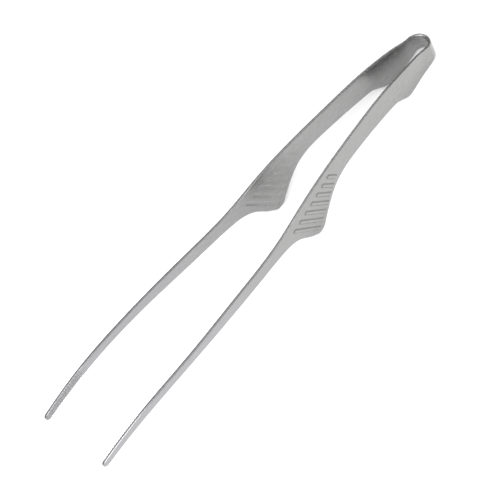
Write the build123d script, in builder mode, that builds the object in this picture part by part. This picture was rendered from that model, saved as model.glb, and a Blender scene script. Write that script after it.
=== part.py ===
"""Spring tongs for lifting photographic prints, bent from one strip of steel.

The strip is folded into a narrow spring bow at the back. From the bow run two arms, each with a
deep heel, a handle, a bump with raised finger ribs that the tongs also rest on, and a slender
jaw with a serrated rounded tip.

Frame: +X from the bow to the tips, +Y across the arms, +Z up from the table the tongs lie on.
The origin is on the table, under the middle of the tongs.
"""
from build123d import *
import os
from math import cos, radians, sin, sqrt

os.makedirs("parts", exist_ok=True)

# Strip and overall length, in millimetres
STRIP = 1.2
BACK_X = -119.53
TIP_X = 119.8
ABOVE = 60.0

# Spring bow: a half turn about an axis whose top leans towards the tips
BOW_RADIUS = 5.0
BOW_LEAN = 12.2
BOW_LEG = 6.4
BOW_REACH = 30.0
FLEX_GAP = 0.12

# The arms' faces lean back a little at the top
ARM_LEAN = -5.1

# Heel, handle and bump, as places along X and heights above the table
BEHIND_X = -124.0
BOW_UNDERSIDE = [(BEHIND_X, 2.6), (-113.5, 0.9)]
HEEL_BACK = (-102.0, 0.0)
HEEL_TOE = (-92.9, 0.0)
HEEL_RISE = (-84.1, 7.4)
HEEL_CORNER = 10.0
HANDLE_UNDERSIDE = [(-78.4, 9.9), (-67.4, 12.8), (-47.2, 16.8), (-39.8, 17.4)]
BUMP_FRONT = [(-32.2, 15.6), (-25.1, 9.8)]
NOSE_START = (-18.4, 1.7)
NOSE_LOW = (-15.6, 0.0)
NOSE_END = (-12.9, 1.1)
BUMP_BACK = [(-8.9, 5.6), (-2.2, 14.9), (3.5, 19.3)]

# Jaw and rounded tip
JAW_UNDERSIDE = [(10.5, 21.8), (26.7, 25.1), (54.2, 30.8), (81.8, 35.8), (100.4, 37.4)]
TIP_UNDER = (118.3, 36.8)
TIP_MIDDLE = (TIP_X, 38.7)
TIP_OVER = (118.3, 40.6)

# Top edge of the strip, from behind the bow to the tip
TOP_EDGE = [
    (BEHIND_X, 13.9),
    (-110.6, 14.9),
    (-103.4, 18.0),
    (-94.4, 21.3),
    (-76.1, 26.4),
    (-57.7, 29.4),
    (-30.0, 32.4),
    (-11.3, 32.6),
    (7.5, 31.3),
    (35.2, 34.4),
    (72.1, 39.7),
    (97.0, 42.1),
]

# Middle of the strip in plan, at the height of the table, for the left arm
ARM_PLAN = [
    (-108.4, BOW_RADIUS),
    (-97.1, 5.75),
    (-73.7, 7.3),
    (-41.1, 9.55),
    (15.0, 13.75),
    (43.0, 15.3),
    (66.4, 16.3),
    (89.7, 16.5),
    (123.5, 15.9),
]

# Finger ribs on the outside of each bump
RIBS = 7
RIB_PITCH = 4.55
RIB_WIDTH = 1.7
RIB_HEIGHT = 0.35
RIB_LEAN = 33.0
RIB_TOP = (-27.9, 28.1)
RIB_DROP = 0.4
RIB_SHORTEST = 9.8
RIB_GROWTH = 2.8
RIB_FACE = ((-28.0, 10.6), (-2.0, 12.65))

# Serrations on the inside of each tip
TEETH = 17
TOOTH_PITCH = 1.2
TOOTH_DEPTH = 0.25
TEETH_FROM_TIP = 3.0

# Directions in which the strip stays straight across its width, in the bow and in the arms
bow_ruling = Vector(sin(radians(BOW_LEAN)), 0, cos(radians(BOW_LEAN)))
arm_ruling = Vector(sin(radians(ARM_LEAN)), 0, cos(radians(ARM_LEAN)))
bow_run = Vector(cos(radians(BOW_LEAN)), 0, -sin(radians(BOW_LEAN)))
bow_apex = Vector(BACK_X, 0, 0)
bow_plane = Plane(origin=bow_apex, x_dir=bow_run, z_dir=bow_ruling)
seam_plane = Plane(origin=bow_apex + bow_run * BOW_LEG, x_dir=bow_ruling, z_dir=bow_run)

# Side outline shared by the bow and both arms
with BuildSketch(Plane.XZ) as side_outline:
    with BuildLine():
        Spline(BOW_UNDERSIDE + [HEEL_BACK], tangents=[(1, -0.16), (1, 0)])
        Line(HEEL_BACK, HEEL_TOE)
        heel_front = Line(HEEL_TOE, HEEL_RISE)
        Spline(
            [HEEL_RISE] + HANDLE_UNDERSIDE + BUMP_FRONT + [NOSE_START],
            tangents=[heel_front % 1, (1, -1.2)],
        )
        ThreePointArc(NOSE_START, NOSE_LOW, NOSE_END)
        Spline([NOSE_END] + BUMP_BACK + JAW_UNDERSIDE + [TIP_UNDER])
        ThreePointArc(TIP_UNDER, TIP_MIDDLE, TIP_OVER)
        Spline([TIP_OVER] + TOP_EDGE[::-1])
        Line(TOP_EDGE[0], BOW_UNDERSIDE[0])
    make_face()
    fillet(side_outline.vertices().sort_by_distance(HEEL_TOE)[0], radius=HEEL_CORNER)

# The spring bow, with a short straight leg on each side
with BuildPart() as spring_bow:
    with BuildSketch(bow_plane) as bow_section:
        with BuildLine() as bow_middle:
            leg_end = BOW_LEG - FLEX_GAP / 2
            Line((leg_end, BOW_RADIUS), (BOW_RADIUS, BOW_RADIUS))
            ThreePointArc((BOW_RADIUS, BOW_RADIUS), (0, 0), (BOW_RADIUS, -BOW_RADIUS))
            Line((BOW_RADIUS, -BOW_RADIUS), (leg_end, -BOW_RADIUS))
        trace(line_width=STRIP)
    extrude(amount=BOW_REACH, both=True)
    extrude(side_outline.sketch, amount=ABOVE, both=True, mode=Mode.INTERSECT)
spring_bow.part.label = "spring_bow"
export_step(spring_bow.part, "parts/spring_bow.step")

# The left arm: heel, handle, bump, jaw and tip
(rib_x0, rib_y0), (rib_x1, rib_y1) = RIB_FACE
rib_run = Vector(rib_x1 - rib_x0, rib_y1 - rib_y0, 0).normalized()
rib_out = arm_ruling.cross(rib_run)
rib_plane = Plane(origin=Vector(rib_x0, rib_y0, 0), x_dir=rib_run * -1, z_dir=rib_out)

with BuildPart() as left_arm:
    with BuildSketch() as arm_section:
        with BuildLine() as arm_middle:
            Line((BEHIND_X, BOW_RADIUS), ARM_PLAN[0])
            arm_curve = Spline(ARM_PLAN, tangents=[(1, 0), (1, -0.016)])
        trace(line_width=STRIP)
    extrude(amount=ABOVE, dir=arm_ruling)
    extrude(side_outline.sketch, amount=ABOVE, both=True, mode=Mode.INTERSECT)
    split(bisect_by=seam_plane.offset(FLEX_GAP / 2), keep=Keep.TOP)
    with BuildSketch(rib_plane) as ribs:
        for i in range(RIBS):
            length = RIB_SHORTEST + RIB_GROWTH * i
            top_x = rib_x0 - (RIB_TOP[0] + RIB_PITCH * i)
            low_x = top_x + length * sin(radians(RIB_LEAN))
            top_z = RIB_TOP[1] - RIB_DROP * i
            low_z = top_z - length * cos(radians(RIB_LEAN))
            with Locations(((top_x + low_x) / 2, (top_z + low_z) / 2)):
                SlotOverall(length, RIB_WIDTH, rotation=90 + RIB_LEAN)
    extrude(amount=STRIP / 2 + RIB_HEIGHT)
    with BuildSketch() as teeth:
        for i in range(TEETH):
            along = arm_curve.length - TEETH_FROM_TIP - TOOTH_PITCH * i
            middle = arm_curve.position_at(along, position_mode=PositionMode.LENGTH)
            run = arm_curve.tangent_at(along, position_mode=PositionMode.LENGTH)
            inner = middle + Vector(run.Y, -run.X, 0) * (STRIP / 2)
            with Locations(inner):
                Rectangle(TOOTH_DEPTH * sqrt(2), TOOTH_DEPTH * sqrt(2), rotation=45)
    extrude(amount=ABOVE, dir=arm_ruling, mode=Mode.SUBTRACT)
left_arm.part.label = "left_arm"
export_step(left_arm.part, "parts/left_arm.step")

# The right arm is its mirror image
with BuildPart() as right_arm:
    mirror(left_arm.part, about=Plane.XZ)
right_arm.part.label = "right_arm"
export_step(right_arm.part, "parts/right_arm.step")
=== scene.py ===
"""Print tongs in satin stainless steel: a spring bow and two arms, lying on a pale studio floor.

Lengths are written in millimetres, as on a workshop drawing, and become metres where a mesh is
made. +X runs from the bow to the tips, +Y across the arms and +Z up from the table.
"""
import logging
from dataclasses import dataclass, field
from enum import Enum
from math import atan2, cos, hypot, pi, radians, sin, sqrt, tan
from typing import Union

import bmesh
import bpy
import numpy as np
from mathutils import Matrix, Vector


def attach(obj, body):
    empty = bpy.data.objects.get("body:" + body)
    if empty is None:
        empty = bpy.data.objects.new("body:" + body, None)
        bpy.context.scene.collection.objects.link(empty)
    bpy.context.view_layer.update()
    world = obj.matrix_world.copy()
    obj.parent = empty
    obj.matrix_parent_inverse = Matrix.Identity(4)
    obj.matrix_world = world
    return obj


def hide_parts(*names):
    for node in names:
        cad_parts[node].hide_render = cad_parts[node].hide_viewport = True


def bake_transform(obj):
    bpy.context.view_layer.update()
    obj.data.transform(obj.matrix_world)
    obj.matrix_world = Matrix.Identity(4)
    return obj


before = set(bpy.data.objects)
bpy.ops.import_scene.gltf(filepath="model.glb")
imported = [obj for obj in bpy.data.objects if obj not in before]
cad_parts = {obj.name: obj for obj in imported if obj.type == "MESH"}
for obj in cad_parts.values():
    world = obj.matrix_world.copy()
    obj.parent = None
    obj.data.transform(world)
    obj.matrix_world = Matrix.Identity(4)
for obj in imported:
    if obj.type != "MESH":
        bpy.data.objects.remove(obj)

log = logging.getLogger("print_tongs")

# One millimetre in metres.
MM = 0.001
# Attributes of a piece's points: the place on the flat strip, in metres, and how near its worn edges
# are, where the steel also paints a sheen.
PLACE_ON_STRIP = "strip_place"
RIM_WEAR_AND_SHEEN = "rim_wear_and_sheen"
# How far the faces, edges and tips are set in, in millimetres, to stay inside the frame's box.
SKIN = 0.006
# The largest share of the strip's width that one rounded corner takes up.
ROUND_SHARE = 0.4
# Across the tongs, from the right arm to the left one.
ACROSS = Vector((0.0, 1.0, 0.0))

Point = tuple[float, float]
Station = tuple[float, float, float, float]
Colour = tuple[float, float, float, float]
Number = Union[float, "Value"]


# ---------------------------------------------------------------- lines in one plane


def smooth_line(
    points: list[Point], start: Point | None = None, end: Point | None = None, steps: int = 24
) -> np.ndarray:
    """Draw a smooth curve through some points: a cubic spline run by chord length.

    Args:
        points: the points, in order.
        start: the direction at the first point; without one it follows the first three points.
        end: the direction at the last point; without one it follows the last three points.
        steps: how many pieces each span between two points is drawn in.

    Returns:
        The curve's points, one per row.
    """
    knots = np.array(points, float)
    gaps = np.linalg.norm(np.diff(knots, axis=0), axis=1)
    chords = np.diff(knots, axis=0) / gaps[:, None]
    last = len(knots) - 1
    matrix = np.eye(last + 1)
    slopes = np.zeros_like(knots)
    for i in range(1, last):
        matrix[i, i - 1 : i + 2] = gaps[i], 2 * (gaps[i - 1] + gaps[i]), gaps[i - 1]
        slopes[i] = 3 * (gaps[i] * chords[i - 1] + gaps[i - 1] * chords[i])
    for i, near, far, given in ((0, 0, 1, start), (last, -1, -2, end)):
        if given is not None:
            slopes[i] = np.array(given) / hypot(*given)
        else:
            lean = gaps[near] / (gaps[near] + gaps[far])
            slopes[i] = chords[near] + lean * (chords[near] - chords[far])
    slopes = np.linalg.solve(matrix, slopes)
    share = np.linspace(0, 1, steps, endpoint=False)[:, None]
    spans = [knots[:1]]
    for i, gap in enumerate(gaps):
        near = (1 + 2 * share) * (1 - share) ** 2 * knots[i] + share**2 * (3 - 2 * share) * knots[i + 1]
        bend = share * (1 - share) ** 2 * slopes[i] - share**2 * (1 - share) * slopes[i + 1]
        spans.append((near + gap * bend)[1:] if i == 0 else near + gap * bend)
    return np.vstack(spans + [knots[-1:]])


def arc_line(first: Point, middle: Point, last: Point, steps: int = 24) -> np.ndarray:
    """Draw the arc of less than half a turn that passes through three points.

    Args:
        first: where the arc starts.
        middle: a point on the way.
        last: where the arc ends.
        steps: how many pieces the arc is drawn in.

    Returns:
        The arc's points, one per row.
    """
    a, b, c = (complex(*point) for point in (first, middle, last))
    ratio = (c - a) / (b - a)
    centre = a + (b - a) * (ratio - abs(ratio) ** 2) / (2j * ratio.imag)
    from_centre = a - centre
    begin = atan2(from_centre.imag, from_centre.real)
    finish = atan2((c - centre).imag, (c - centre).real)
    sweep = (finish - begin + pi) % (2 * pi) - pi
    angles = begin + sweep * np.linspace(0, 1, steps + 1)
    points = centre + abs(from_centre) * np.exp(1j * angles)
    return np.column_stack((points.real, points.imag))


def crossing(line: np.ndarray, foot: float, lean: float) -> float:
    """Find where a leaning ruling first crosses a line of the side outline.

    Args:
        line: the line's points, running from the bow to the tips.
        foot: where the ruling would meet the table, along X.
        lean: how far the ruling's top leans towards the tips, in radians.

    Returns:
        How far up the ruling the crossing is, from the table.
    """
    ahead = line[:, 0] - foot - line[:, 1] * tan(lean)
    i = int(np.argmax(ahead > 0))
    share = ahead[i - 1] / (ahead[i - 1] - ahead[i])
    height = line[i - 1, 1] + share * (line[i, 1] - line[i - 1, 1])
    return float(height / cos(lean))


@dataclass
class SideOutline:
    """The strip seen from the side: the outline that the bow and both arms share.

    A start or an end is the direction that a line has there.
    """

    bow_underside: tuple[Point, ...] = ((-124.0, 2.6), (-113.5, 0.9), (-102.0, 0.0))
    bow_start: Point = (1.0, -0.16)
    bow_end: Point = (1.0, 0.0)
    heel_toe: Point = (-92.9, 0.0)
    heel_rise: Point = (-84.1, 7.4)
    heel_corner: float = 10.0
    handle_underside: tuple[Point, ...] = ((-78.4, 9.9), (-67.4, 12.8), (-47.2, 16.8), (-39.8, 17.4))
    bump_front: tuple[Point, ...] = ((-32.2, 15.6), (-25.1, 9.8))
    bump_end: Point = (1.0, -1.2)
    nose: tuple[Point, Point, Point] = ((-18.4, 1.7), (-15.6, 0.0), (-12.9, 1.1))
    bump_back: tuple[Point, ...] = ((-8.9, 5.6), (-2.2, 14.9), (3.5, 19.3))
    jaw_underside: tuple[Point, ...] = (
        (10.5, 21.8), (26.7, 25.1), (54.2, 30.8), (81.8, 35.8), (100.4, 37.4),
    )
    tip: tuple[Point, Point, Point] = ((118.3, 36.8), (119.8, 38.7), (118.3, 40.6))
    top_edge: tuple[Point, ...] = (
        (-124.0, 13.9), (-110.6, 14.9), (-103.4, 18.0), (-94.4, 21.3), (-76.1, 26.4), (-57.7, 29.4),
        (-30.0, 32.4), (-11.3, 32.6), (7.5, 31.3), (35.2, 34.4), (72.1, 39.7), (97.0, 42.1),
    )
    under: np.ndarray = field(init=False)
    over: np.ndarray = field(init=False)

    def __post_init__(self) -> None:
        """Draw the underside and the top edge, each with the round of the tip."""
        rise = (self.heel_rise[0] - self.heel_toe[0], self.heel_rise[1] - self.heel_toe[1])
        turn = atan2(rise[1], rise[0])
        begin = self.heel_toe[0] - self.heel_corner * tan(turn / 2)
        corner = [
            (begin + self.heel_corner * sin(angle), self.heel_corner * (1 - cos(angle)))
            for angle in (0.0, turn / 2, turn)
        ]
        tip_round = arc_line(*self.tip)
        handle = [self.heel_rise, *self.handle_underside, *self.bump_front, self.nose[0]]
        self.under = np.vstack((
            smooth_line(list(self.bow_underside), self.bow_start, self.bow_end),
            arc_line(*corner),
            smooth_line(handle, rise, self.bump_end),
            arc_line(*self.nose),
            smooth_line([self.nose[2], *self.bump_back, *self.jaw_underside, self.tip[0]]),
            tip_round,
        ))
        self.over = np.vstack((smooth_line([*self.top_edge, self.tip[2]]), tip_round[::-1]))


# ---------------------------------------------------------------- the strip's section


@dataclass(frozen=True)
class Ruling:
    """A straight line across the middle of the strip, from its lower edge to its upper one."""

    low: Vector
    high: Vector
    outward: Vector
    half: float
    groove: float = 0.0

    def section(self, edge: float, steps: int) -> list[Vector]:
        """Draw the strip's section here, a long rectangle with rounded corners.

        Args:
            edge: radius of the corners.
            steps: how many pieces each corner is drawn in.

        Returns:
            The section's points, in metres, from the outside over the top edge and round.
        """
        up = (self.high - self.low).normalized()
        edge = min(edge, ROUND_SHARE * (self.high - self.low).length, self.half - SKIN)
        inset = edge + SKIN
        top, bottom = self.high - up * inset, self.low + up * inset
        outside, inside = self.half - inset, self.groove + inset - self.half
        corners = ((top, outside), (top, inside), (bottom, inside), (bottom, outside))
        points = []
        for quarter, (end, side) in enumerate(corners):
            centre = end + self.outward * side
            for step in range(steps + 1):
                angle = (quarter + step / steps) * pi / 2
                points.append((centre + (self.outward * cos(angle) + up * sin(angle)) * edge) * MM)
        return points


@dataclass
class SteelStrip:
    """What the bow and the arms have in common: a strip of sheet with rounded edges."""

    outline: SideOutline
    thickness: float = 1.2
    edge_round: float = 0.24
    wear_and_sheen_band: float = 0.9
    round_steps: int = 4
    rows: int = 88
    bow_back: float = -119.53
    bow_lean: float = radians(12.2)
    bow_radius: float = 5.0
    bow_leg: float = 6.4
    arm_lean: float = radians(-5.1)
    smooth_below: float = radians(44.0)

    def seam_foot(self) -> float:
        """Where the seam between the bow and an arm would meet the table, along X."""
        return self.bow_back + self.bow_leg / cos(self.bow_lean)

    def half_bend(self) -> float:
        """The bow's length from the middle of its bend to the start of a straight leg."""
        return self.bow_radius * pi / 2

    def from_middle(self, foot: np.ndarray) -> np.ndarray:
        """How far along the flat strip from the middle of the bow an arm's ruling is."""
        return foot - self.bow_back - self.bow_radius + self.half_bend()

    def edges(self, foot: float, lean: float) -> tuple[float, float]:
        """How far up a ruling the strip's lower and upper edges are, from the table."""
        return crossing(self.outline.under, foot, lean), crossing(self.outline.over, foot, lean)

    def rulings(self) -> list[Ruling]:
        """The rulings of this stretch of the strip, in order."""
        raise NotImplementedError

    def places(self, points: np.ndarray) -> np.ndarray:
        """Where each point is on the flat strip: along it, up it and through its thickness."""
        raise NotImplementedError

    def raise_mesh(self, name: str) -> bpy.types.Object:
        """Extrude the section from ruling to ruling, then divide both faces into rows.

        Args:
            name: the piece's name.

        Returns:
            The new piece, closed, with its place in its mesh.
        """
        sections = [ruling.section(self.edge_round, self.round_steps) for ruling in self.rulings()]
        bpy.ops.object.select_all(action="DESELECT")
        bpy.ops.mesh.primitive_circle_add(vertices=len(sections[0]), fill_type="NGON")
        piece = bpy.context.object
        piece.name = piece.data.name = name
        bpy.ops.object.mode_set(mode="EDIT")
        mesh = bmesh.from_edit_mesh(piece.data)
        order = mesh.verts.layers.int.new("section_order")
        for number, vert in enumerate(mesh.verts):
            vert[order] = number
        for number, section in enumerate(sections):
            if number:
                bpy.ops.mesh.extrude_region_move()
            mesh = bmesh.from_edit_mesh(piece.data)
            order = mesh.verts.layers.int["section_order"]
            for vert in mesh.verts:
                if vert.select:
                    vert.co = section[vert[order]]
        corner = self.round_steps + 1
        inside, outside = {2 * corner - 1, 2 * corner}, {4 * corner - 1, 0}
        bpy.ops.mesh.select_mode(type="EDGE")
        bpy.ops.mesh.select_all(action="DESELECT")
        for edge in mesh.edges:
            edge.select = {vert[order] for vert in edge.verts} in (inside, outside)
        bpy.ops.mesh.subdivide(number_cuts=self.rows)
        bpy.ops.mesh.select_all(action="SELECT")
        bpy.ops.mesh.normals_make_consistent(inside=False)
        bpy.ops.mesh.select_mode(type="VERT")
        bpy.ops.object.mode_set(mode="OBJECT")
        piece.data.attributes.remove(piece.data.attributes["section_order"])
        return piece

    def finish_mesh(self, piece: bpy.types.Object, steel: bpy.types.Material) -> None:
        """Smooth the faces, note each point's place on the strip and give the piece its steel.

        Args:
            piece: the piece.
            steel: the finish.
        """
        mesh = piece.data
        places = self.places(read_points(mesh))
        rulings = self.rulings()
        lower = self.places(np.array([ruling.low for ruling in rulings]))
        upper = self.places(np.array([ruling.high for ruling in rulings]))
        inside = np.minimum(
            places[:, 1] - np.interp(places[:, 0], *in_order(lower)),
            np.interp(places[:, 0], *in_order(upper)) - places[:, 1],
        )
        # How near each point is to the worn edges; the steel paints a sheen there as well as roughening
        # them.
        rim = 1.0 - smooth_step(inside / self.wear_and_sheen_band)
        add_attribute(mesh, PLACE_ON_STRIP, "FLOAT_VECTOR", places * MM)
        add_attribute(mesh, RIM_WEAR_AND_SHEEN, "FLOAT", rim)
        bpy.ops.object.select_all(action="DESELECT")
        piece.select_set(True)
        bpy.context.view_layer.objects.active = piece
        bpy.ops.object.shade_smooth_by_angle(angle=self.smooth_below)
        mesh.materials.clear()
        mesh.materials.append(steel)


def in_order(places: np.ndarray) -> tuple[np.ndarray, np.ndarray]:
    """Sort places along the strip and return how far along and how far up they are."""
    ranked = places[np.argsort(places[:, 0])]
    return ranked[:, 0], ranked[:, 1]


def read_points(mesh: bpy.types.Mesh) -> np.ndarray:
    """Read a mesh's points.

    Args:
        mesh: the mesh.

    Returns:
        The points, in millimetres, one per row.
    """
    points = np.empty(len(mesh.vertices) * 3)
    mesh.vertices.foreach_get("co", points)
    return points.reshape(-1, 3) / MM


def add_attribute(mesh: bpy.types.Mesh, name: str, kind: str, values: np.ndarray) -> None:
    """Give every point of a mesh a number or a vector.

    Args:
        mesh: the mesh.
        name: the attribute's name.
        kind: FLOAT or FLOAT_VECTOR.
        values: one value per point.
    """
    attribute = mesh.attributes.new(name, kind, "POINT")
    part = "vector" if kind == "FLOAT_VECTOR" else "value"
    attribute.data.foreach_set(part, values.astype(np.float32).ravel())


def smooth_step(values: np.ndarray) -> np.ndarray:
    """Ease from 0 to 1 with no corner at either end."""
    share = np.clip(values, 0.0, 1.0)
    return share * share * (3 - 2 * share)


# ---------------------------------------------------------------- the pieces


@dataclass
class SpringBow(SteelStrip):
    """The narrow bow at the back, a half turn of the strip about a leaning axis."""

    bend_steps: int = 72
    leg_steps: int = 3

    def stations(self) -> list[Point]:
        """Where each ruling stands, from the left seam round the back to the right one.

        Returns:
            How far the bend's centre is from the back of the bow, and the turn round it.
        """
        leg = self.bow_leg - self.bow_radius
        found = [(self.bow_leg - leg * i / self.leg_steps, pi / 2) for i in range(self.leg_steps)]
        for i in range(self.bend_steps + 1):
            found.append((self.bow_radius, pi / 2 + pi * i / self.bend_steps))
        for i in range(self.leg_steps):
            found.append((self.bow_radius + leg * (i + 1) / self.leg_steps, 3 * pi / 2))
        return found

    def rulings(self) -> list[Ruling]:
        """Stand the strip's rulings up round the bow.

        Returns:
            The bow's rulings, from the left seam round the back to the right one.
        """
        run = Vector((cos(self.bow_lean), 0.0, -sin(self.bow_lean)))
        ruling = Vector((sin(self.bow_lean), 0.0, cos(self.bow_lean)))
        found = []
        for centre, angle in self.stations():
            outward = run * cos(angle) + ACROSS * sin(angle)
            middle = Vector((self.bow_back, 0.0, 0.0)) + run * centre + outward * self.bow_radius
            foot = middle.x - middle.z * tan(self.bow_lean)
            flat = Vector((foot, middle.y, 0.0))
            low, high = self.edges(foot, self.bow_lean)
            found.append(Ruling(flat + ruling * low, flat + ruling * high, outward, self.thickness / 2))
        return found

    def places(self, points: np.ndarray) -> np.ndarray:
        """Where each point of the bow is on the flat strip.

        Args:
            points: the points, in millimetres, one per row.

        Returns:
            How far along the bend from the back, how far up when slid along to the seam, and how
            far out from the middle.
        """
        run = cos(self.bow_lean) * (points[:, 0] - self.bow_back) - sin(self.bow_lean) * points[:, 2]
        up = sin(self.bow_lean) * (points[:, 0] - self.bow_back) + cos(self.bow_lean) * points[:, 2]
        level = up * cos(self.bow_lean) - self.bow_leg * sin(self.bow_lean)
        bent = self.bow_radius - np.minimum(run, self.bow_radius)
        angle = np.arctan2(np.abs(points[:, 1]), bent)
        path = self.bow_radius * angle + np.maximum(run - self.bow_radius, 0.0)
        seam = self.seam_foot() + level * (tan(self.bow_lean) - tan(self.arm_lean))
        share = path / (self.half_bend() + self.bow_leg - self.bow_radius)
        along = np.sign(points[:, 1]) * share * self.from_middle(seam)
        return np.column_stack((along, level, np.hypot(points[:, 1], bent) - self.bow_radius))

    def build(self, steel: bpy.types.Material) -> bpy.types.Object:
        """Build the bow and let it ride on its body.

        Args:
            steel: the finish.

        Returns:
            The finished bow.
        """
        piece = self.raise_mesh("bow_steel")
        self.finish_mesh(piece, steel)
        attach(piece, "spring_bow")
        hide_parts("spring_bow")
        log.info("bow_steel: %d faces", len(piece.data.polygons))
        return piece


@dataclass(frozen=True)
class FingerRibs:
    """Slanting ribs pressed outwards in the bump, each longer than the one before."""

    count: int = 7
    pitch: float = 4.55
    width: float = 1.7
    height: float = 0.35
    wall: float = 0.68
    recess: float = 0.6
    crease: float = 0.42
    lean: float = radians(33.0)
    top: Point = (-27.9, 28.1)
    drop: float = 0.4
    shortest: float = 9.8
    growth: float = 2.8

    def height_at(self, x: np.ndarray, z: np.ndarray) -> np.ndarray:
        """How far each place in the side view is pressed outwards, in millimetres.

        A rib's wall is half inside its edge and half outside.

        Args:
            x: places along the tongs.
            z: heights above the table.

        Returns:
            The height of the rib there, or nothing between the ribs.
        """
        raised = np.zeros_like(x)
        for i in range(self.count):
            top_x = self.top[0] + self.pitch * i
            top_z = self.top[1] - self.drop * i
            length = self.shortest + self.growth * i - self.width
            down_x, down_z = -sin(self.lean), -cos(self.lean)
            from_x = x - top_x - down_x * self.width / 2
            from_z = z - top_z - down_z * self.width / 2
            along = np.clip(from_x * down_x + from_z * down_z, 0.0, length)
            away = np.hypot(from_x - along * down_x, from_z - along * down_z)
            raised = np.maximum(raised, smooth_step((self.width / 2 - away) / self.wall + 0.5))
        return raised * self.height


@dataclass
class TongArm(SteelStrip):
    """One arm, on the left: heel, handle, bump with its ribs, slender jaw and serrated tip."""

    plan: tuple[Point, ...] = (
        (-108.4, 5.0), (-97.1, 5.75), (-73.7, 7.3), (-41.1, 9.55), (15.0, 13.75), (43.0, 15.3),
        (66.4, 16.3), (89.7, 16.5), (123.5, 15.9),
    )
    plan_start: Point = (1.0, 0.0)
    plan_end: Point = (1.0, -0.016)
    seam_steps: int = 6
    zones: tuple[Point, ...] = ((-78.0, 0.8), (-38.0, 1.4), (8.0, 0.26), (100.7, 1.5))
    teeth: int = 17
    tooth_pitch: float = 1.2
    last_tooth: float = 120.5
    tooth_depth: float = 0.24
    tooth_half: float = 0.34
    tip_steps: int = 10
    tip_first: float = radians(76.0)
    tip_sweep: float = radians(68.0)
    flex: float = 8.0
    ribs: FingerRibs = field(default_factory=FingerRibs)
    plan_line: np.ndarray = field(init=False)
    plan_turn: np.ndarray = field(init=False)

    def __post_init__(self) -> None:
        """Draw the arm in plan, with its heading at every point."""
        self.plan_line = smooth_line(list(self.plan), self.plan_start, self.plan_end)
        self.plan_turn = np.gradient(self.plan_line[:, 1], self.plan_line[:, 0])

    def stations(self) -> list[Station]:
        """Where each ruling of the arm stands, from the seam to the tip.

        Returns:
            Each ruling's foot along X, lean, half thickness and groove depth.
        """
        half = self.thickness / 2
        seam, start = self.seam_foot(), self.plan[0][0]
        found = []
        for i in range(self.seam_steps):
            share = i / self.seam_steps
            lean = self.bow_lean + share * (self.arm_lean - self.bow_lean)
            found.append((seam + share * (start - seam), lean, half, 0.0))
        for end, pitch in self.zones:
            count = round((end - start) / pitch)
            for i in range(count):
                found.append((start + (end - start) * i / count, self.arm_lean, half, 0.0))
            start = end
        for tooth in reversed(range(self.teeth)):
            middle = self.last_tooth - self.tooth_pitch * tooth
            found.append((middle - self.tooth_half, self.arm_lean, half, 0.0))
            found.append((middle, self.arm_lean, half, self.tooth_depth))
            found.append((middle + self.tooth_half, self.arm_lean, half, 0.0))
        return found + self.tip_stations()

    def tip_stations(self) -> list[Station]:
        """Where the rulings of the rounded tip stand; the last ones are thinner.

        Returns:
            Each ruling's foot along X, lean, half thickness and groove depth.
        """
        under = self.outline.under
        end = float(np.max(under[:, 0] - under[:, 1] * tan(self.arm_lean))) - SKIN
        low, middle = self.outline.tip[:2]
        bulge, rise = middle[0] - low[0], middle[1] - low[1]
        radius = (bulge**2 + rise**2) / (2 * bulge)
        found = []
        for i in range(self.tip_steps):
            angle = self.tip_first - self.tip_sweep * i / (self.tip_steps - 1)
            back = radius * (1 - cos(angle))
            thin = max(self.edge_round - back, 0.0)
            half = self.thickness / 2 - self.edge_round + sqrt(self.edge_round**2 - thin**2)
            found.append((end - back, self.arm_lean, half, 0.0))
        return found

    def rulings(self) -> list[Ruling]:
        """Stand the strip's rulings up along the arm.

        Returns:
            The arm's rulings, from the seam to the tip.
        """
        found = []
        for foot, lean, half, groove in self.stations():
            ruling = Vector((sin(lean), 0.0, cos(lean)))
            middle = Vector((foot, float(np.interp(foot, *self.plan_line.T)), 0.0))
            heading = Vector((1.0, float(np.interp(foot, self.plan_line[:, 0], self.plan_turn)), 0.0))
            if foot < self.plan[0][0]:
                heading.y = 0.0
            outward = ruling.cross(heading).normalized()
            low, high = self.edges(foot, lean)
            found.append(Ruling(middle + ruling * low, middle + ruling * high, outward, half, groove))
        return found

    def places(self, points: np.ndarray) -> np.ndarray:
        """Where each point of the arm is on the flat strip.

        Args:
            points: the points, in millimetres, one per row.

        Returns:
            How far from the middle of the bow along X, up from the table and out from the middle.
        """
        foot = points[:, 0] - points[:, 2] * tan(self.arm_lean)
        middle = np.interp(foot, *self.plan_line.T)
        return np.column_stack((self.from_middle(foot), points[:, 2], points[:, 1] - middle))

    def press_ribs(self, piece: bpy.types.Object) -> None:
        """Press the ribs outwards, with a shallower hollow behind each on the inside.

        Args:
            piece: the left arm, before it has its finish.
        """
        points = read_points(piece.data)
        places = self.places(points)
        share = np.where(places[:, 2] > 0, 1.0, self.ribs.recess)
        points[:, 1] += share * self.ribs.height_at(points[:, 0], points[:, 2])
        piece.data.vertices.foreach_set("co", (points * MM).ravel())
        piece.data.update()

    def build(self, steel: bpy.types.Material) -> tuple[bpy.types.Object, bpy.types.Object]:
        """Build the left arm, copy it for the right, and blend both with the bow.

        Args:
            steel: the finish.

        Returns:
            The left arm and the right arm.
        """
        left = self.raise_mesh("left_arm_steel")
        self.press_ribs(left)
        self.finish_mesh(left, steel)
        right = mirror_copy(left, "right_arm_steel")
        arms = ((left, "left_arm", "left_squeeze"), (right, "right_arm", "right_squeeze"))
        for piece, node, joint in arms:
            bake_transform(piece)
            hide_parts(node)
            log.info("%s: %d faces", piece.name, len(piece.data.polygons))
        return left, right


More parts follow.
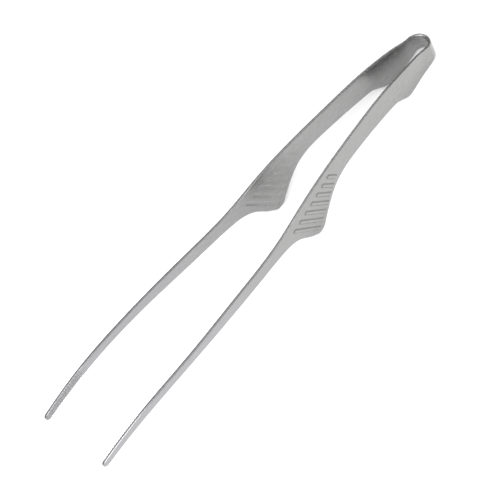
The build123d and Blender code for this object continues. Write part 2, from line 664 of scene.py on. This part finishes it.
def mirror_copy(piece: bpy.types.Object, name: str) -> bpy.types.Object:
    """Copy a piece with its own mesh and turn it into its mirror image across the tongs.

    Args:
        piece: the piece to copy.
        name: the copy's name.

    Returns:
        The mirrored copy.
    """
    bpy.ops.object.select_all(action="DESELECT")
    piece.select_set(True)
    bpy.context.view_layer.objects.active = piece
    bpy.ops.object.duplicate()
    copy = bpy.context.object
    copy.name = copy.data.name = name
    bpy.ops.object.mode_set(mode="EDIT")
    bpy.ops.mesh.select_all(action="SELECT")
    bpy.ops.transform.resize(value=(1, -1, 1), center_override=(0, 0, 0))
    bpy.ops.mesh.normals_make_consistent(inside=False)
    bpy.ops.object.mode_set(mode="OBJECT")
    places = copy.data.attributes[PLACE_ON_STRIP].data
    values = np.empty(len(places) * 3, np.float32)
    places.foreach_get("vector", values)
    places.foreach_set("vector", (values.reshape(-1, 3) * (-1, 1, 1)).astype(np.float32).ravel())
    return copy


# ---------------------------------------------------------------- shader maths


class Value:
    """A number socket that adds a Math node each time it is used in arithmetic."""

    def __init__(self, bench: "ShaderBench", socket: bpy.types.NodeSocket) -> None:
        """Wrap a socket of a bench's node tree."""
        self.bench = bench
        self.socket = socket

    def _with(self, operation: str, first: Number, second: Number) -> "Value":
        """Add a Math node and return its result."""
        return self.bench.number("ShaderNodeMath", {"operation": operation}, {0: first, 1: second})

    def __add__(self, other: Number) -> "Value":
        """Add."""
        return self._with("ADD", self, other)

    __radd__ = __add__

    def __mul__(self, other: Number) -> "Value":
        """Multiply."""
        return self._with("MULTIPLY", self, other)

    __rmul__ = __mul__

    def __sub__(self, other: Number) -> "Value":
        """Subtract."""
        return self._with("SUBTRACT", self, other)

    def __rsub__(self, other: Number) -> "Value":
        """Subtract from a number."""
        return self._with("SUBTRACT", other, self)

    def __truediv__(self, other: Number) -> "Value":
        """Divide."""
        return self._with("DIVIDE", self, other)

    def __rtruediv__(self, other: Number) -> "Value":
        """Divide a number by this."""
        return self._with("DIVIDE", other, self)

    def __pow__(self, other: Number) -> "Value":
        """Raise to a power."""
        return self._with("POWER", self, other)

    def rounded_down(self) -> "Value":
        """The whole number below."""
        return self.bench.number("ShaderNodeMath", {"operation": "FLOOR"}, {0: self})

    def largest(self, other: Number) -> "Value":
        """The larger of this and another number."""
        return self._with("MAXIMUM", self, other)

    def smallest(self, other: Number) -> "Value":
        """The smaller of this and another number."""
        return self._with("MINIMUM", self, other)

    def between(self, low: float, high: float) -> "Value":
        """This, kept from low to high."""
        return self.largest(low).smallest(high)

    def ease(self, low: float, high: float) -> "Value":
        """Ease from 0 at low to 1 at high."""
        return self.bench.number(
            "ShaderNodeMapRange", {"interpolation_type": "SMOOTHSTEP"}, {0: self, 1: low, 2: high}
        )


class ShaderBench:
    """A material's node tree with one way to add a node."""

    def __init__(self, name: str) -> None:
        """Make an empty material.

        Args:
            name: the material's name.
        """
        self.material = bpy.data.materials.new(name)
        self.material.use_nodes = True
        self.tree = self.material.node_tree
        self.tree.nodes.clear()

    def node(self, kind: str, settings: dict, inputs: dict) -> bpy.types.Node:
        """Add a node, set it up and join its sockets.

        Args:
            kind: the node's type.
            settings: its properties, set first.
            inputs: a value, a socket or a Value for each input, by name or number.

        Returns:
            The node.
        """
        made = self.tree.nodes.new(kind)
        for name, value in settings.items():
            setattr(made, name, value)
        for name, value in inputs.items():
            source = value.socket if isinstance(value, Value) else value
            if isinstance(source, bpy.types.NodeSocket):
                self.tree.links.new(source, made.inputs[name])
            else:
                made.inputs[name].default_value = source
        return made

    def number(self, kind: str, settings: dict, inputs: dict, output: int | str = 0) -> Value:
        """Add a node and wrap one of its outputs as a number."""
        return Value(self, self.node(kind, settings, inputs).outputs[output])

    def noise(
        self, place: bpy.types.NodeSocket, stretch: tuple[float, float, float], detail: float
    ) -> Value:
        """Noise over a place, finer where the stretch is greater, in cells per metre.

        Args:
            place: the coordinates.
            stretch: cells per metre along each coordinate.
            detail: how many finer octaves it has.

        Returns:
            The noise, from 0 to 1 about a half.
        """
        spread = self.node("ShaderNodeMapping", {}, {"Vector": place, "Scale": stretch})
        inputs = {"Vector": spread.outputs[0], "Scale": 1.0, "Detail": detail, "Roughness": 0.55}
        return self.number("ShaderNodeTexNoise", {"noise_dimensions": "3D"}, inputs)

    def attribute(self, name: str, output: str) -> bpy.types.NodeSocket:
        """Read an attribute of the mesh."""
        settings = {"attribute_type": "GEOMETRY", "attribute_name": name}
        return self.node("ShaderNodeAttribute", settings, {}).outputs[output]


# ---------------------------------------------------------------- the finishes


class Layer(Enum):
    """A layer of noise in the steel: cells per metre along each coordinate, and finer octaves."""

    HAIRLINE = ((90.0, 7000.0, 900.0), 3.0)
    BAND = ((14.0, 900.0, 400.0), 4.0)
    GRAIN = ((520.0, 1700.0, 900.0), 2.0)
    CLOUD = ((55.0, 55.0, 55.0), 3.0)
    SPECKLE = ((3200.0, 3200.0, 3200.0), 2.0)
    # Mottles the painted shade of the toothed zone.
    KNURL = ((1300.0, 1300.0, 1300.0), 2.0)
    SCRATCH = ((70.0, 900.0, 2600.0), 1.0)


@dataclass(frozen=True)
class Marks:
    """What the steel shows at each point.

    The first five are noise about a half. The others are 0 where there is none.
    """

    hairline: Value
    band: Value
    grain: Value
    cloud: Value
    speckle: Value
    scratch: Value
    # the worn rims, rougher and lightened by a painted sheen
    rim: Value
    outside: Value
    # where the jaw takes its painted bluish reflection
    jaw: Value
    # painted shade in the rib creases and the toothed zone
    painted_shade: Value


@dataclass(frozen=True)
class Streaks:
    """How much each layer of the brushing adds to a property of the steel."""

    hairline: float
    band: float
    cloud: float
    grain: float

    def of(self, marks: Marks) -> Value:
        """Add the layers up, each as noise about zero."""
        return (
            self.hairline * (marks.hairline - 0.5) + self.band * (marks.band - 0.5)
            + self.cloud * (marks.cloud - 0.5) + self.grain * (marks.grain - 0.5)
        )


@dataclass(frozen=True)
class Relief:
    """How high each layer stands, as a share of the bump; scratches are cut in."""

    hairline: float = 0.5
    band: float = 0.3
    grain: float = 0.5
    speckle: float = 0.25
    scratch: float = 0.35

    def of(self, marks: Marks) -> Value:
        """Add the layers up."""
        return (
            self.hairline * marks.hairline + self.band * marks.band + self.grain * marks.grain
            + self.speckle * marks.speckle - self.scratch * marks.scratch
        )


@dataclass(frozen=True)
class SatinSteel:
    """Stainless sheet with a satin brushed finish along the strip and worn edges, with painted light:
    a painted sheen on the edges, painted shade on the outside faces, in the rib creases and in the
    toothed zone, and a painted bluish reflection on the jaw.

    A range, or a pair named from, is where an effect starts and where it is full, and places are in
    millimetres. A pair of painted shade is its least share, and what the knurling or the outside adds.
    """

    dark: Colour = (0.252, 0.252, 0.249, 1.0)
    light: Colour = (0.350, 0.350, 0.349, 1.0)
    # A painted bluish reflection, mixed over the jaw.
    painted_blue_reflection: Colour = (0.315, 0.313, 0.334, 1.0)
    # The colour of the painted shade in the rib creases and the toothed zone.
    painted_shade: Colour = (0.13, 0.13, 0.127, 1.0)
    shade_streaks: Streaks = Streaks(0.3, 0.25, 0.15, 0.3)
    shade_range: Point = (0.3, 0.75)
    # Painted shade: how much darker the outside faces are painted.
    outside_painted_shade: float = 0.13
    # Painted sheen: how much lighter the worn rims are painted.
    rim_painted_sheen: float = 0.25
    rim_calm: float = 0.85
    # How much of the painted bluish reflection the jaw takes.
    blue_reflection_share: float = 0.6
    roughness: float = 0.26
    rough_streaks: Streaks = Streaks(0.12, 0.10, 0.10, 0.10)
    speckle_rougher: float = 0.06
    scratch_rougher: float = 0.10
    rim_rougher: float = 0.02
    painted_shade_rougher: float = 0.15
    relief: Relief = Relief()
    bump: float = 0.000016
    bump_strength: float = 0.6
    outside_from: Point = (0.0, 0.3)
    jaw_from: Point = (-5.0, 70.0)
    teeth_from: Point = (93.0, 103.0)
    # Painted shade on the inside of the toothed zone, mottled by the knurl noise.
    teeth_painted_shade: Point = (0.12, 0.4)
    knurl_range: Point = (0.35, 0.65)
    # Painted shade in the rib creases, stronger on the outside.
    crease_painted_shade: Point = (0.05, 0.7)
    crease_top: float = 0.3
    scratch_turns: tuple[float, ...] = (0.35, -0.6)
    scratch_tilt: float = 0.2
    scratch_range: Point = (0.70, 0.76)
    ribs: FingerRibs = FingerRibs()

    def material(self) -> bpy.types.Material:
        """Make the material.

        Returns:
            The steel, for pieces that know their place on the strip.
        """
        bench = ShaderBench("satin_steel")
        marks = self.marks(bench)
        calm = 1.0 - self.rim_calm * marks.rim
        height = calm * self.relief.of(marks)
        bump = bench.node(
            "ShaderNodeBump", {},
            {"Strength": self.bump_strength, "Distance": self.bump, "Height": height},
        )
        shader = bench.node(
            "ShaderNodeBsdfPrincipled", {},
            {"Base Color": self.colour(bench, marks, calm), "Metallic": 1.0,
             "Roughness": self.rough(marks), "Normal": bump.outputs[0]},
        )
        bench.node("ShaderNodeOutputMaterial", {}, {"Surface": shader.outputs[0]})
        return bench.material

    def marks(self, bench: ShaderBench) -> Marks:
        """Work out what the steel shows at each point.

        Args:
            bench: where the nodes go.

        Returns:
            The marks.
        """
        strip = bench.attribute(PLACE_ON_STRIP, "Vector")
        solid = bench.node("ShaderNodeTexCoord", {}, {}).outputs["Object"]
        through = bench.number("ShaderNodeSeparateXYZ", {}, {0: strip}, "Z")
        outside = through.ease(self.outside_from[0] * MM, self.outside_from[1] * MM)
        knurl = bench.noise(solid, *Layer.KNURL.value).ease(*self.knurl_range)
        # Painted shade over the inside of the toothed zone, mottled.
        tooth_shade = self.reach(bench, solid, self.teeth_from) * (1.0 - outside)
        tooth_shade = tooth_shade * (self.teeth_painted_shade[0] + self.teeth_painted_shade[1] * knurl)
        # Painted shade in the creases round the finger ribs.
        crease_shade = self.painted_crease_shade(bench, solid) * (self.crease_painted_shade[0] + self.crease_painted_shade[1] * outside)
        return Marks(
            hairline=bench.noise(strip, *Layer.HAIRLINE.value),
            band=bench.noise(strip, *Layer.BAND.value),
            grain=bench.noise(strip, *Layer.GRAIN.value),
            cloud=bench.noise(solid, *Layer.CLOUD.value),
            speckle=bench.noise(solid, *Layer.SPECKLE.value),
            scratch=self.scratches(bench, solid),
            rim=Value(bench, bench.attribute(RIM_WEAR_AND_SHEEN, "Fac")),
            outside=outside,
            jaw=self.reach(bench, solid, self.jaw_from),
            painted_shade=crease_shade + tooth_shade,
        )

    def colour(self, bench: ShaderBench, marks: Marks, calm: Value) -> bpy.types.NodeSocket:
        """Mix the steel's colour.

        Args:
            bench: where the nodes go.
            marks: what the steel shows at each point.
            calm: how much of the brushing is left there.

        Returns:
            The colour.
        """
        streaks = self.shade_streaks.of(marks)
        # A painted sheen lightens the worn rims here.
        # Painted shade darkens the outside faces here.
        shade = (
            0.5 + calm * (streaks - self.outside_painted_shade * marks.outside) + self.rim_painted_sheen * marks.rim
        )
        coats = (
            (shade.ease(*self.shade_range), self.light),
            # A painted bluish reflection over the jaw.
            (self.blue_reflection_share * marks.jaw, self.painted_blue_reflection),
            # Painted shade in the rib creases and over the toothed zone.
            (marks.painted_shade, self.painted_shade),
        )
        colour = self.dark
        for share, coat in coats:
            inputs = {"Factor": share, "A": colour, "B": coat}
            colour = bench.node("ShaderNodeMix", {"data_type": "RGBA"}, inputs).outputs["Result"]
        return colour

    def rough(self, marks: Marks) -> Value:
        """How rough the steel is at each point."""
        return (
            self.roughness + self.rough_streaks.of(marks) + self.speckle_rougher * (marks.speckle - 0.5)
            + self.scratch_rougher * marks.scratch + self.rim_rougher * marks.rim
            + self.painted_shade_rougher * marks.painted_shade
        )

    @staticmethod
    def reach(bench: ShaderBench, solid: bpy.types.NodeSocket, span: Point) -> Value:
        """Ease from 0 to 1 between two places along the tongs.

        Args:
            bench: where the nodes go.
            solid: the piece's own coordinates, in metres.
            span: where it starts and ends along X, in millimetres.

        Returns:
            0 nearer the bow, 1 nearer the tips.
        """
        along = bench.number("ShaderNodeSeparateXYZ", {}, {0: solid}, "X")
        return along.ease(span[0] * MM, span[1] * MM)

    def painted_crease_shade(self, bench: ShaderBench, solid: bpy.types.NodeSocket) -> Value:
        """Painted shade in the crease around each finger rib, 1 in the crease.

        Args:
            bench: where the nodes go.
            solid: the piece's own coordinates, in metres.

        Returns:
            How much painted shade there is.
        """
        ribs = self.ribs
        parts = bench.node("ShaderNodeSeparateXYZ", {}, {0: solid})
        x, z = (Value(bench, parts.outputs[axis]) / MM for axis in ("X", "Z"))
        down, aside = (-sin(ribs.lean), -cos(ribs.lean)), (cos(ribs.lean), -sin(ribs.lean))
        from_x, from_z = x - ribs.top[0], z - ribs.top[1]
        along = from_x * down[0] + from_z * down[1]
        across = from_x * aside[0] + from_z * aside[1]
        step = ribs.pitch * aside[0] - ribs.drop * aside[1]
        slip = ribs.pitch * down[0] - ribs.drop * down[1]
        rib = (across / step + 0.5).rounded_down().between(0.0, ribs.count - 1.0)
        half = ribs.width / 2
        start = rib * slip + half
        beyond = (start - along).largest(along - start - ribs.shortest + ribs.width - rib * ribs.growth)
        beyond = beyond.largest(0.0)
        away = ((across - rib * step) ** 2.0 + beyond * beyond) ** 0.5
        closed = self.crease_top + (1.0 - self.crease_top) * (along - start).ease(-ribs.width, 0.0)
        return closed * (1.0 - ((away - half) * (away - half)).ease(0.0, ribs.crease**2))

    def scratches(self, bench: ShaderBench, solid: bpy.types.NodeSocket) -> Value:
        """Sparse hair-fine handling scratches in two directions, 1 on a scratch.

        Args:
            bench: where the nodes go.
            solid: the piece's own coordinates, in metres.

        Returns:
            How much of a scratch there is.
        """
        total = None
        for turn in self.scratch_turns:
            inputs = {"Vector": solid, "Rotation": (0.0, turn, self.scratch_tilt)}
            turned = bench.node("ShaderNodeMapping", {}, inputs).outputs[0]
            line = bench.noise(turned, *Layer.SCRATCH.value).ease(*self.scratch_range)
            total = line if total is None else total + line
        return total


@dataclass(frozen=True)
class PaleFloor:
    """A plain pale studio floor."""

    size: float = 8.0
    colour: Colour = (0.9, 0.9, 0.9, 1.0)
    roughness: float = 0.9

    def build(self) -> bpy.types.Object:
        """Lay the floor level with the table the tongs lie on.

        Returns:
            The floor.
        """
        bpy.ops.object.select_all(action="DESELECT")
        bpy.ops.mesh.primitive_plane_add(size=self.size)
        floor = bpy.context.object
        floor.name = "studio_floor"
        bench = ShaderBench("studio_floor")
        inputs = {"Base Color": self.colour, "Roughness": self.roughness}
        shader = bench.node("ShaderNodeBsdfPrincipled", {}, inputs)
        bench.node("ShaderNodeOutputMaterial", {}, {"Surface": shader.outputs[0]})
        floor.data.materials.append(bench.material)
        return floor


# ---------------------------------------------------------------- light and camera


class Lamp(Enum):
    """A level soft light: its place and size in metres, power in watts and turn in degrees."""

    OVERHEAD = ((0.98, 0.7, 1.5), 2.1, 72.0, 0.0)
    BEHIND = ((-1.2, -0.03, 1.5), 1.8, 6.0, 10.9)


@dataclass(frozen=True)
class Studio:
    """Plain soft light, and a camera that looks down on the tongs from beyond their tips."""

    camera_place: tuple[float, float, float] = (0.105238, 0.175191, 0.378209)
    camera_turn: tuple[float, float, float] = (26.2524, 13.2305, 127.9432)
    lens: float = 70.938
    nearest: float = 0.01
    surroundings: Colour = (1.0, 1.0, 1.0, 1.0)
    ambient: float = 0.4

    def build(self) -> None:
        """Hang the lights, set the surroundings and place the camera."""
        for lamp in Lamp:
            place, size, power, turn = lamp.value
            light = bpy.data.lights.new(lamp.name.lower(), "AREA")
            light.shape = "SQUARE"
            light.size = size
            light.energy = power
            hung = bpy.data.objects.new(light.name, light)
            hung.location = place
            hung.rotation_euler = (0.0, 0.0, radians(turn))
            bpy.context.collection.objects.link(hung)
        world = bpy.data.worlds.new("studio")
        world.use_nodes = True
        background = world.node_tree.nodes["Background"]
        background.inputs["Color"].default_value = self.surroundings
        background.inputs["Strength"].default_value = self.ambient
        scene = bpy.context.scene
        scene.world = world
        scene.view_settings.view_transform = "Standard"
        camera = bpy.data.cameras.new("camera")
        camera.lens = self.lens
        camera.clip_start = self.nearest
        stand = bpy.data.objects.new("camera", camera)
        stand.location = self.camera_place
        stand.rotation_euler = [radians(angle) for angle in self.camera_turn]
        bpy.context.collection.objects.link(stand)
        scene.camera = stand


def main() -> None:
    """Build the tongs and the studio."""
    logging.basicConfig(level=logging.INFO, format="%(message)s")
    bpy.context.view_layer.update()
    outline = SideOutline()
    steel = SatinSteel().material()
    SpringBow(outline).build(steel)
    TongArm(outline).build(steel)
    PaleFloor().build()
    Studio().build()


if __name__ == "__main__":
    main()
